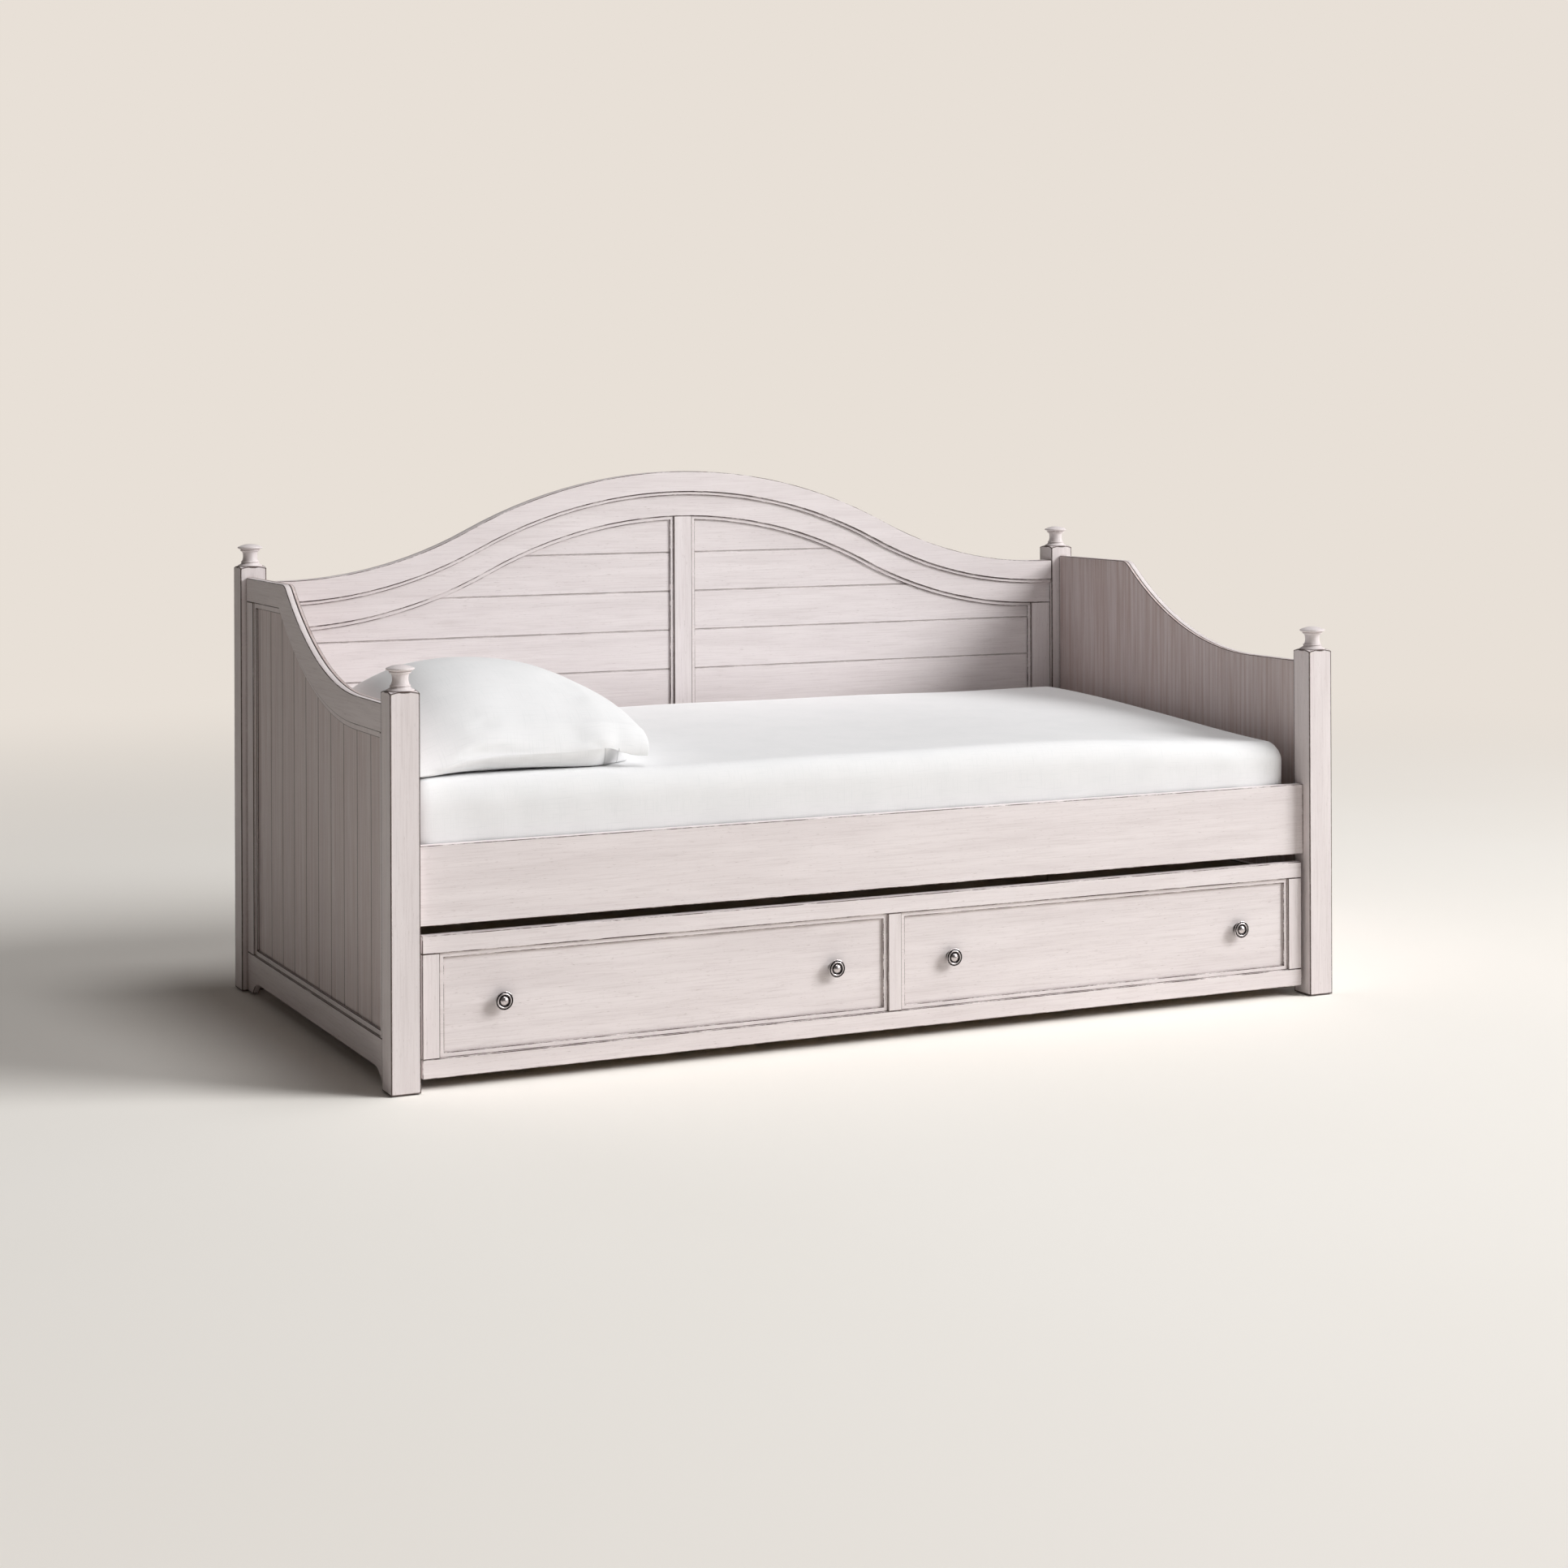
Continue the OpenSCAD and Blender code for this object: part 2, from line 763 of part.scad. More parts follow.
module trundle_slats() {
    color(PINE)
    for (i = [0:trundle_slat_count - 1])
        translate([-trundle_slat_span / 2 + i * trundle_slat_span / (trundle_slat_count - 1), 0, 0])
            box([-trundle_slat_width / 2, trundle_inner_y + 1, trundle_slat_bottom],
                [trundle_slat_width / 2, trundle_back_y - trundle_board - 1, trundle_slat_top]);
}

// Turned knob: rosette, stem, dished rim, raised ring and a domed centre
module knob(x) {
    dome_x = 9;
    dome_rise = 5;
    dome_radius = (dome_x * dome_x + dome_rise * dome_rise) / (2 * dome_rise);
    dome_turn = asin(dome_x / dome_radius);
    color(PEWTER)
    difference() {
        translate([x, panel_y, knob_z]) rotate([90, 0, 0])
            rotate_extrude() polygon(concat(
                [[0, 0], [11, 0], [11, 1.4], [9.5, 2.4], [7, 3.4]],
                arc([12.5, 6.4], 6.2, 205, 140, 6),
                arc([knob_radius - 0.9, 14.8], 0.9, -60, 100, 6),
                [[16, 14], [14.3, 14]],
                arc([12.8, 15.2], 1.6, 10, 170, 8),
                [[11.2, 14.1], [dome_x, 14.4]],
                arc([0, 20 - dome_radius], dome_radius, 90 - dome_turn, 90, 8)
            ));
        knob_screw(x);
    }
}

module knob_screws() {
    color(STEEL)
    for (x = [-outer_knob_x, -inner_knob_x, inner_knob_x, outer_knob_x]) {
        knob_screw(x);
        translate([x, panel_y + panel_thickness + screw_head, knob_z]) rotate([90, 0, 0])
            cylinder(h = screw_head, r = screw_head_radius);
    }
}

// ---- casters ----

// A plate screwed under the end slat, two cheeks and the axle between them
module caster_fork(x, y) {
    cheek_half = 13;
    cheek_x = fork_half + fork_cheek;
    translate([x, y, 0]) {
        box([-30, -25, trundle_slat_bottom - fork_plate], [30, 25, trundle_slat_bottom]);
        for (side = [-1, 1])
            sided(side) slab_x(-cheek_x, -fork_half) {
                plate([-cheek_half, wheel_radius], [cheek_half, trundle_slat_bottom - fork_plate]);
                translate([0, wheel_radius]) circle(r = cheek_half);
            }
        translate([0, 0, wheel_radius]) rotate([0, 90, 0])
            cylinder(h = 2 * cheek_x + 4, r = axle_radius, center = true);
    }
}

module caster_forks() {
    color(STEEL)
    for (x = [-wheel_x, wheel_x], y = [wheel_front_y, wheel_back_y])
        caster_fork(x, y);
}

module wheel(x, y) {
    edge = 3;
    bore = axle_radius + axle_gap;
    half = wheel_width / 2;
    color(NYLON) translate([x, y, wheel_radius]) rotate([0, 90, 0])
        rotate_extrude() polygon([
            [bore, -half], [wheel_radius - edge, -half], [wheel_radius, edge - half],
            [wheel_radius, half - edge], [wheel_radius - edge, half], [bore, half]]);
}

post(-1, -1, front_post_height);  // post_front_left
post(1, -1, front_post_height);  // post_front_right
post(-1, 1, back_post_height);  // post_back_left
post(1, 1, back_post_height);  // post_back_right
finial(-1, -1, front_post_height);  // finial_front_left
finial(1, -1, front_post_height);  // finial_front_right
finial(-1, 1, back_post_height);  // finial_back_left
finial(1, 1, back_post_height);  // finial_back_right
arm_top_rail(-1);  // arm_top_rail_left
arm_top_rail(1);  // arm_top_rail_right
arm_bottom_rail(-1);  // arm_bottom_rail_left
arm_bottom_rail(1);  // arm_bottom_rail_right
arm_stile(-1, -1);  // arm_front_stile_left
arm_stile(1, -1);  // arm_front_stile_right
arm_stile(-1, 1);  // arm_rear_stile_left
arm_stile(1, 1);  // arm_rear_stile_right
arm_boarding(-1);  // arm_boarding_left
arm_boarding(1);  // arm_boarding_right
arm_inner_panel(-1);  // arm_inner_panel_left
arm_inner_panel(1);  // arm_inner_panel_right
arm_mouldings();
crest_rail();
arch_rail();
back_stile(-centre_stile_width / 2, centre_stile_width / 2);  // back_centre_stile
back_stile(-between_x, end_stile_width - between_x);  // back_end_stile_left
back_stile(between_x - end_stile_width, between_x);  // back_end_stile_right
back_planks(-1);  // back_planks_left
back_planks(1);  // back_planks_right
back_mouldings();
back_rail();
front_rail();
rail_hooks();
slat_ledgers();
bed_slats();
foot_glides();
mattress();
pillow();
trundle_top_rail();
trundle_bottom_rail();
trundle_centre_stile();
trundle_end_stiles();
trundle_panel(-1);  // trundle_panel_left
trundle_panel(1);  // trundle_panel_right
trundle_mouldings();
trundle_side(-1);  // trundle_side_left
trundle_side(1);  // trundle_side_right
trundle_back();
trundle_ledgers();
trundle_slats();
knob(-outer_knob_x);  // knob_outer_left
knob(-inner_knob_x);  // knob_inner_left
knob(inner_knob_x);  // knob_inner_right
knob(outer_knob_x);  // knob_outer_right
knob_screws();
caster_forks();
wheel(-wheel_x, wheel_front_y);  // wheel_front_left
wheel(wheel_x, wheel_front_y);  // wheel_front_right
wheel(-wheel_x, wheel_back_y);  // wheel_back_left
wheel(wheel_x, wheel_back_y);  // wheel_back_right
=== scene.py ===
import math
import bpy
import numpy as np
from mathutils import Matrix, Vector


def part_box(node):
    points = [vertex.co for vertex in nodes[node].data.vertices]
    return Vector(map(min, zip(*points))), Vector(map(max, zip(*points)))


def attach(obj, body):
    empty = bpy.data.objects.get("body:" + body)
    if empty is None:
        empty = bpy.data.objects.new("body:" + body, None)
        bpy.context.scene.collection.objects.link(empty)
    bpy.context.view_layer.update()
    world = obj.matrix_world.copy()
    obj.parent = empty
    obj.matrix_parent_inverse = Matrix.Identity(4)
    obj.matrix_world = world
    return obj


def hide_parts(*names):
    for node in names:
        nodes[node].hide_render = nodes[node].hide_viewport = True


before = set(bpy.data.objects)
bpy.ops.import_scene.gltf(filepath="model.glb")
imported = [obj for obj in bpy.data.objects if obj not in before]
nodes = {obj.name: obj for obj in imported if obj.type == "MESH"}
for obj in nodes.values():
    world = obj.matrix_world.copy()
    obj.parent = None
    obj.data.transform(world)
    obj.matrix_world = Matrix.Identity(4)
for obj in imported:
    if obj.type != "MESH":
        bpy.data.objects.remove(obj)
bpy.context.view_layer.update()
scene = bpy.context.scene
print("frame loaded:", len(nodes), "parts")

# ---- camera ----

# Eye level, looking level along the room; the lens is shifted down so that uprights stay upright
camera = {
    "place": (-2.60799, -5.52099, 1.23186),  # metres
    "turn": 0.4439,  # radians, from straight ahead towards the right arm
    "roll": -0.0035,
    "lens": 64.61,  # millimetres, on a 36 mm wide sensor
    "shift": -0.23025,
}


def addCamera(c):
    ahead = Vector((math.sin(c["turn"]), math.cos(c["turn"]), 0))
    side = Vector((ahead.y, -ahead.x, 0))
    up = Vector((0, 0, 1))
    across = side * math.cos(c["roll"]) + up * math.sin(c["roll"])
    over = up * math.cos(c["roll"]) - side * math.sin(c["roll"])
    data = bpy.data.cameras.new("studioCamera")
    data.sensor_width = 36
    data.lens = c["lens"]
    data.shift_y = c["shift"]
    data.clip_end = 200
    made = bpy.data.objects.new("studioCamera", data)
    turned = Matrix((across, over, -ahead)).transposed().to_4x4()
    made.matrix_world = Matrix.Translation(Vector(c["place"])) @ turned
    scene.collection.objects.link(made)
    scene.camera = made


addCamera(camera)
print("camera set")

# ---- small helpers ----


def linear(code):
    # sRGB hex to linear light, opaque
    parts = [int(code[i:i + 2], 16) / 255 for i in (1, 3, 5)]
    return tuple(p / 12.92 if p <= 0.04045 else ((p + 0.055) / 1.055) ** 2.4 for p in parts) + (1.0,)


def addNode(tree, kind, settings=None, links=None, out=0):
    # one node: its settings by name, and its sockets by name or number, each a value or another node's
    # output; gives back the output asked for
    node = tree.nodes.new("ShaderNode" + kind)
    for name, value in (settings or {}).items():
        setattr(node, name, value)
    for socket, value in (links or {}).items():
        if isinstance(value, bpy.types.NodeSocket):
            tree.links.new(value, node.inputs[socket])
        else:
            node.inputs[socket].default_value = value
    return node.outputs[out] if len(node.outputs) else None


# settings that many nodes share
times, plus, minus = ({"operation": name} for name in ("MULTIPLY", "ADD", "SUBTRACT"))
eased = {"interpolation_type": "SMOOTHSTEP"}
colours = {"data_type": "RGBA"}


def newMaterial(name):
    made = bpy.data.materials.new(name)
    made.use_nodes = True
    made.node_tree.nodes.clear()
    return made, made.node_tree


def surface(tree, sockets):
    # the shader and the output, which every finish ends in
    shader = addNode(tree, "BsdfPrincipled", links=sockets)
    addNode(tree, "OutputMaterial", links={"Surface": shader})


# ---- wood ----

# Poplar, painted off-white with a wiped brown glaze: the brush leaves fine streaks along the grain,
# the glaze stays in pores, joints and along the arrises, and the paint has a soft satin sheen
whitewash = {
    "paint": "#ECE4E4",
    "paintShade": "#E0D7D7",
    "streak": "#C9BDBC",
    "pore": "#8F7A73",
    # glaze colours; where they follow the corners they also paint the shade that falls there
    "glaze": "#4E3D37",
    "glazeThinAndShade": "#A8958E",
    # brown left in the brush marks; laid on heavier on the arm boarding and inner panels, it also paints the
    # darker, warmer shade they lie in
    "brushed": "#A47C6C",
    "streakMm": (90, 3.0),  # length along the grain and width across it
    "bandMm": (420, 34),
    "poreMm": (16, 1.3),
    "markMm": (320, 9.0),
    "speckMm": 5.0,
    "cornerGlazeAndShadeMm": 8.0,  # how far the glaze, and the painted shade drawn with it, creeps out of a corner
    "arrisMm": 1.4,
    "postArrisMm": 4.0,
    "roughness": 0.52,
}


def grainNoise(tree, place, axis, sizeMm, detail=3.0, distortion=0.0):
    # noise drawn out along the grain: one turn in each length along it and in each width across it
    scale = tuple(1000 / sizeMm[0 if k == axis else 1] for k in range(3))
    drawn = addNode(tree, "VectorMath", times, {0: place, 1: scale})
    return addNode(tree, "TexNoise", None, {
        "Vector": drawn, "Scale": 1.0, "Detail": detail, "Roughness": 0.6, "Distortion": distortion})


def boardPlace(tree, place, boards):
    # moves the grain from board to board; gives the moved place, the board's own luck,
    # and how far a point is from its nearest joint
    axis, start, pitch = boards
    level = addNode(tree, "SeparateXYZ", None, {0: place}, axis)
    risen = addNode(tree, "Math", minus, {0: level, 1: start})
    count = addNode(tree, "Math", {"operation": "DIVIDE"}, {0: risen, 1: pitch})
    number = addNode(tree, "Math", {"operation": "FLOOR"}, {0: count})
    luck = addNode(tree, "TexWhiteNoise", {"noise_dimensions": "1D"}, {"W": number}, "Value")
    jump = addNode(tree, "CombineXYZ", None, {0: luck, 1: luck, 2: luck})
    moved = addNode(tree, "VectorMath", plus, {0: place, 1: jump})
    nearest = addNode(tree, "Math", {"operation": "ROUND"}, {0: count})
    off = addNode(tree, "Math", minus, {0: count, 1: nearest})
    share = addNode(tree, "Math", {"operation": "ABSOLUTE"}, {0: off})
    return moved, luck, addNode(tree, "Math", times, {0: share, 1: pitch})


def whitewashedWood(name, axis, held, boards=None, brushed=0.0, edged=False):
    # held: how much of the glaze, with the painted shade drawn along with it, was left in the corners, from 0 to
    # 1;
    # brushed: how much of it was left in the brush marks, which also paints shade; edged: whether it also stays
    # along the arrises
    w = whitewash
    made, tree = newMaterial(name)
    place = addNode(tree, "TexCoord", out="Object")
    grain, luck, joint = boardPlace(tree, place, boards) if boards else (place, None, None)
    bands = grainNoise(tree, grain, axis, w["bandMm"], 2.0, 0.3)
    streaks = grainNoise(tree, grain, axis, w["streakMm"], 4.0, 0.25)
    pores = grainNoise(tree, grain, axis, w["poreMm"], 2.0)
    specks = addNode(tree, "TexNoise", None, {"Vector": place, "Scale": 1000 / w["speckMm"], "Detail": 2.0})
    # the occlusion finds the corners, where shade falls, so the glaze drawn from it there is partly painted shade
    corners = addNode(tree, "AmbientOcclusion", {"samples": 6}, {"Distance": w["cornerGlazeAndShadeMm"] / 1000}, "AO")
    # paint: broad bands, fine streaks, then the pores
    amount = addNode(tree, "MapRange", eased, {0: bands, 1: 0.3, 2: 0.75, 3: 0.0, 4: 0.7})
    if boards:
        shift = addNode(tree, "Math", times, {0: luck, 1: 0.3})
        amount = addNode(tree, "Math", plus, {0: amount, 1: shift})
    colour = addNode(tree, "Mix", colours, {0: amount, 6: linear(w["paint"]), 7: linear(w["paintShade"])}, 2)
    amount = addNode(tree, "MapRange", eased, {0: streaks, 1: 0.42, 2: 0.8, 3: 0.0, 4: 0.4})
    colour = addNode(tree, "Mix", colours, {0: amount, 6: colour, 7: linear(w["streak"])}, 2)
    holes = addNode(tree, "MapRange", eased, {0: pores, 1: 0.62, 2: 0.8, 3: 0.0, 4: 1.0})
    amount = addNode(tree, "Math", times, {0: holes, 1: 0.5})
    colour = addNode(tree, "Mix", colours, {0: amount, 6: colour, 7: linear(w["pore"])}, 2)
    # partly painted shade: the brown brush marks darken and warm the parts given them, as if in shade
    if brushed:
        marks = grainNoise(tree, grain, axis, w["markMm"], 5.0, 0.3)
        amount = addNode(tree, "MapRange", eased, {0: marks, 1: 0.3, 2: 0.78, 3: 0.3 * brushed, 4: brushed})
        colour = addNode(tree, "Mix", colours, {0: amount, 6: colour, 7: linear(w["brushed"])}, 2)
    # glaze and painted shade: thin and broken where it creeps out of a corner, thick in the corner itself; both
    # follow the occlusion, so they darken where shade falls
    glazeAndShadeCreep = addNode(tree, "MapRange", eased, {0: corners, 1: 0.82, 2: 0.42, 3: 0.0, 4: 0.85 * held})
    broken = addNode(tree, "MapRange", eased, {0: specks, 1: 0.3, 2: 0.62, 3: 0.45, 4: 1.0})
    amount = addNode(tree, "Math", times, {0: glazeAndShadeCreep, 1: broken})
    colour = addNode(tree, "Mix", colours, {0: amount, 6: colour, 7: linear(w["glazeThinAndShade"])}, 2)
    amount = addNode(tree, "MapRange", eased, {0: corners, 1: 0.45, 2: 0.18, 3: 0.0, 4: held})
    colour = addNode(tree, "Mix", colours, {0: amount, 6: colour, 7: linear(w["glaze"])}, 2)
    if boards:
        amount = addNode(tree, "MapRange", eased, {0: joint, 1: 0.0019, 2: 0.0007, 3: 0.0, 4: 0.7 * held})
        colour = addNode(tree, "Mix", colours, {0: amount, 6: colour, 7: linear(w["glaze"])}, 2)
    if edged:
        # an arris hides part of what is inside the wood, so looking inwards finds it
        inwards = addNode(tree, "AmbientOcclusion", {"samples": 8, "inside": True, "only_local": True},
                          {"Distance": w["postArrisMm"] / 1000}, "AO")
        arris = addNode(tree, "MapRange", eased, {0: inwards, 1: 0.88, 2: 0.74, 3: 0.0, 4: 1.0})
        worn = addNode(tree, "MapRange", eased, {0: specks, 1: 0.22, 2: 0.42, 3: 0.6, 4: 1.0})
        amount = addNode(tree, "Math", times, {0: arris, 1: worn})
        colour = addNode(tree, "Mix", colours, {0: amount, 6: colour, 7: linear(w["glaze"])}, 2)
    ridges = addNode(tree, "Math", times, {0: streaks, 1: 0.6})
    height = addNode(tree, "Math", minus, {0: ridges, 1: holes})
    bump = addNode(tree, "Bump", None, {"Strength": 0.35, "Distance": 0.0006, "Height": height})
    rough = addNode(tree, "MapRange", None, {0: streaks, 1: 0.3, 2: 0.8, 3: w["roughness"] - 0.06,
                                             4: w["roughness"] + 0.1})
    surface(tree, {"Base Color": colour, "Roughness": rough, "IOR": 1.5, "Normal": bump})
    return made


def arrisGlaze(name, axis, worn):
    # glaze left along an arris, with the paint showing where hands have worn it away
    w = whitewash
    made, tree = newMaterial(name)
    place = addNode(tree, "TexCoord", out="Object")
    runs = grainNoise(tree, place, axis, (90, 30), 3.0, 0.4)
    fine = grainNoise(tree, place, axis, (9, 3), 2.0)
    share = addNode(tree, "Mix", None, {0: 0.3, 2: runs, 3: fine})
    amount = addNode(tree, "MapRange", eased, {0: share, 1: worn, 2: worn + 0.2})
    colour = addNode(tree, "Mix", colours, {0: amount, 6: linear(w["paintShade"]), 7: linear(w["glaze"])}, 2)
    surface(tree, {"Base Color": colour, "Roughness": 0.5, "IOR": 1.5})
    return made


# Planed pine, left bare: yellow-brown, with darker late-wood lines drawn out along the board
pine = {"light": "#DCC59B", "dark": "#B08A57", "pore": "#8A6337", "lineMm": (500, 9), "poreMm": (30, 1.5),
        "arrisMm": 2.0, "roughness": 0.62}


def barePine(name, axis):
    made, tree = newMaterial(name)
    place = addNode(tree, "TexCoord", out="Object")
    rings = grainNoise(tree, place, axis, pine["lineMm"], 3.0, 0.8)
    pores = grainNoise(tree, place, axis, pine["poreMm"], 2.0)
    amount = addNode(tree, "MapRange", eased, {0: rings, 1: 0.42, 2: 0.62})
    colour = addNode(tree, "Mix", colours, {0: amount, 6: linear(pine["light"]), 7: linear(pine["dark"])}, 2)
    amount = addNode(tree, "MapRange", eased, {0: pores, 1: 0.6, 2: 0.8, 3: 0.0, 4: 0.4})
    colour = addNode(tree, "Mix", colours, {0: amount, 6: colour, 7: linear(pine["pore"])}, 2)
    bump = addNode(tree, "Bump", None, {"Strength": 0.3, "Distance": 0.0005, "Height": rings})
    surface(tree, {"Base Color": colour, "Roughness": pine["roughness"], "IOR": 1.5, "Normal": bump})
    return made


alongX, alongY, alongZ = 0, 1, 2
plankJoints = (2, 0.931, 0.0907)  # axis, one joint's height, and the pitch, in metres
boardJoints = (1, -0.016, 0.089)
woods = {
    "x": whitewashedWood("whitewashed poplar, brushed along x", alongX, 0.55),
    "y": whitewashedWood("whitewashed poplar, brushed along y", alongY, 0.75),
    "z": whitewashedWood("whitewashed poplar, brushed along z", alongZ, 0.75),
    "planks": whitewashedWood("whitewashed poplar planks", alongX, 0.12, plankJoints),
    # boards and panels: extra brown in the brush marks, partly glaze and partly painted shade of the arm faces
    "boards": whitewashedWood("whitewashed poplar boards", alongZ, 0.9, boardJoints, 0.35),
    "panels": whitewashedWood("whitewashed poplar panels", alongZ, 0.75, None, 0.6),
    "posts": whitewashedWood("whitewashed poplar posts", alongZ, 0.75, None, 0.0, True),
}
arrises = {
    "x": arrisGlaze("brown glaze on arrises along x", alongX, 0.36),
    "y": arrisGlaze("brown glaze on arrises along y", alongY, 0.3),
    "z": arrisGlaze("brown glaze on arrises along z", alongZ, 0.24),
}
arrises.update(planks=arrises["x"], boards=arrises["z"], panels=arrises["z"], posts=arrises["z"])
pines = {"x": barePine("bare pine along x", alongX), "y": barePine("bare pine along y", alongY)}

woodNames = {
    "x": ("crest_rail", "arch_rail", "back_mouldings", "back_rail", "front_rail", "trundle_top_rail",
          "trundle_bottom_rail", "trundle_panel_left", "trundle_panel_right", "trundle_mouldings",
          "trundle_back"),
    "y": ("arm_top_rail_left", "arm_top_rail_right", "arm_bottom_rail_left", "arm_bottom_rail_right",
          "trundle_side_left", "trundle_side_right"),
    "z": ("finial_front_left", "finial_front_right", "finial_back_left", "finial_back_right",
          "arm_front_stile_left", "arm_front_stile_right", "arm_rear_stile_left", "arm_rear_stile_right",
          "arm_mouldings", "back_centre_stile", "back_end_stile_left", "back_end_stile_right",
          "trundle_centre_stile", "trundle_end_stiles"),
    "posts": ("post_front_left", "post_front_right", "post_back_left", "post_back_right"),
    "panels": ("arm_inner_panel_left", "arm_inner_panel_right"),
    "planks": ("back_planks_left", "back_planks_right"),
    "boards": ("arm_boarding_left", "arm_boarding_right"),
}


def dress(name, *materials):
    slots = nodes[name].data.materials
    slots.clear()
    for m in materials:
        slots.append(m)


def easeArrises(name, widthMm, glazed=True):
    # joins the loose triangles into whole faces, then rounds every arris and gives it the second material
    weld = nodes[name].modifiers.new("weld", "WELD")
    weld.merge_threshold = 0.00002
    whole = nodes[name].modifiers.new("whole faces", "DECIMATE")
    whole.decimate_type = "DISSOLVE"
    whole.angle_limit = math.radians(0.3)
    ease = nodes[name].modifiers.new("eased arrises", "BEVEL")
    ease.width = widthMm / 1000
    ease.segments = 2
    ease.limit_method = "ANGLE"
    ease.angle_limit = math.radians(30)
    ease.use_clamp_overlap = True
    ease.harden_normals = True
    if glazed:
        ease.material = 1


for kind, names in woodNames.items():
    for name in names:
        dress(name, woods[kind], arrises[kind])
        if not name.startswith(("finial", "trundle_panel")):
            easeArrises(name, whitewash["arrisMm"])
for kind, names in (("x", ("slat_ledgers", "trundle_ledgers")), ("y", ("bed_slats", "trundle_slats"))):
    for name in names:
        dress(name, pines[kind])
        easeArrises(name, pine["arrisMm"], False)
print("wood dressed")

# ---- metal and nylon ----

# Cast zinc knobs in antique pewter: tumbled bright on the high rings, black where the patina was left
pewter = {
    "bright": "#D0C9CA",
    "patina": "#1B1718",
    "patinaDepth": (-0.5500, -0.5492),  # metres along y between which the patina grows from none to whole
    "hollowMm": 5.0,
    "castPerMetre": 420.0,
    "roughness": 0.3,
}


def antiquePewter(name):
    made, tree = newMaterial(name)
    place = addNode(tree, "TexCoord", out="Object")
    depth = addNode(tree, "SeparateXYZ", None, {0: place}, 1)
    cast = addNode(tree, "TexNoise", None, {"Vector": place, "Scale": pewter["castPerMetre"], "Detail": 3.0})
    hollow = addNode(tree, "AmbientOcclusion", {"samples": 8}, {"Distance": pewter["hollowMm"] / 1000}, "AO")
    near = addNode(tree, "MapRange", eased, {0: hollow, 1: 0.9, 2: 0.66})
    none, whole = pewter["patinaDepth"]
    deep = addNode(tree, "MapRange", eased, {0: depth, 1: none, 2: whole})
    worn = addNode(tree, "MapRange", eased, {0: cast, 1: 0.3, 2: 0.6, 3: 0.8, 4: 1.0})
    dark = addNode(tree, "Math", {"operation": "MAXIMUM"}, {0: near, 1: deep})
    dark = addNode(tree, "Math", times, {0: dark, 1: worn})
    colour = addNode(tree, "Mix", colours, {0: dark, 6: linear(pewter["bright"]), 7: linear(pewter["patina"])}, 2)
    rough = addNode(tree, "MapRange", None, {0: cast, 1: 0.3, 2: 0.7, 3: pewter["roughness"] - 0.06,
                                             4: pewter["roughness"] + 0.1})
    bump = addNode(tree, "Bump", None, {"Strength": 0.25, "Distance": 0.0002, "Height": cast})
    surface(tree, {"Base Color": colour, "Metallic": 1.0, "Roughness": rough, "Normal": bump})
    return made


# Pressed steel, zinc plated: cool grey with a cloudy spangle
zinc = {"light": "#B9BCBE", "dark": "#9B9EA1", "cloudMm": 7.0}


def zincSteel(name):
    made, tree = newMaterial(name)
    place = addNode(tree, "TexCoord", out="Object")
    cloud = addNode(tree, "TexNoise", None, {"Vector": place, "Scale": 1000 / zinc["cloudMm"], "Detail": 3.0})
    amount = addNode(tree, "MapRange", eased, {0: cloud, 1: 0.35, 2: 0.65})
    colour = addNode(tree, "Mix", colours, {0: amount, 6: linear(zinc["light"]), 7: linear(zinc["dark"])}, 2)
    rough = addNode(tree, "MapRange", None, {0: cloud, 1: 0.3, 2: 0.7, 3: 0.3, 4: 0.45})
    surface(tree, {"Base Color": colour, "Metallic": 1.0, "Roughness": rough})
    return made


# Moulded nylon, black: dull, with a faint moulding texture and dust on it
nylonFinish = {"black": "#2A2A2C", "dust": "#4A4845", "dustMm": 11.0, "roughness": 0.48}


def mouldedNylon(name):
    made, tree = newMaterial(name)
    place = addNode(tree, "TexCoord", out="Object")
    dust = addNode(tree, "TexNoise", None, {
        "Vector": place, "Scale": 1000 / nylonFinish["dustMm"], "Detail": 4.0})
    amount = addNode(tree, "MapRange", eased, {0: dust, 1: 0.45, 2: 0.75})
    colour = addNode(tree, "Mix", colours, {0: amount, 6: linear(nylonFinish["black"]),
                                            7: linear(nylonFinish["dust"])}, 2)
    bump = addNode(tree, "Bump", None, {"Strength": 0.15, "Distance": 0.0003, "Height": dust})
    surface(tree, {"Base Color": colour, "Roughness": nylonFinish["roughness"], "IOR": 1.53, "Normal": bump})
    return made


knobMetal = antiquePewter("antique pewter, cast and tumbled")
steel = zincSteel("zinc plated steel, pressed")
nylon = mouldedNylon("black nylon, moulded")
for name in nodes:
    if name.startswith("knob_") and name != "knob_screws":
        dress(name, knobMetal)
    elif name in ("knob_screws", "caster_forks", "rail_hooks"):
        dress(name, steel)
    elif name.startswith("wheel_") or name == "foot_glides":
        dress(name, nylon)
print("metal and nylon dressed")

# ---- cloth ----

# Cotton percale, washed: matt white, plain weave with a thread that thickens here and there.
# The real thread spacing is 0.25 mm; it is drawn at 1.4 mm so that it shows
percale = {"white": "#F0F0F1", "shade": "#E8E9EA", "grooveShade": "#A9A9AB", "threadMm": 1.4, "slubMm": (60, 2.2),
           "cloudMm": 110, "roughness": 0.88}
# Ticking on the mattress itself: natural cotton, tightly woven, its thread drawn coarser too
ticking = {"white": "#DDD6C8", "shade": "#C9C0AE", "threadMm": 1.6, "slubMm": (40, 3.0), "cloudMm": 80,
           "roughness": 0.9}


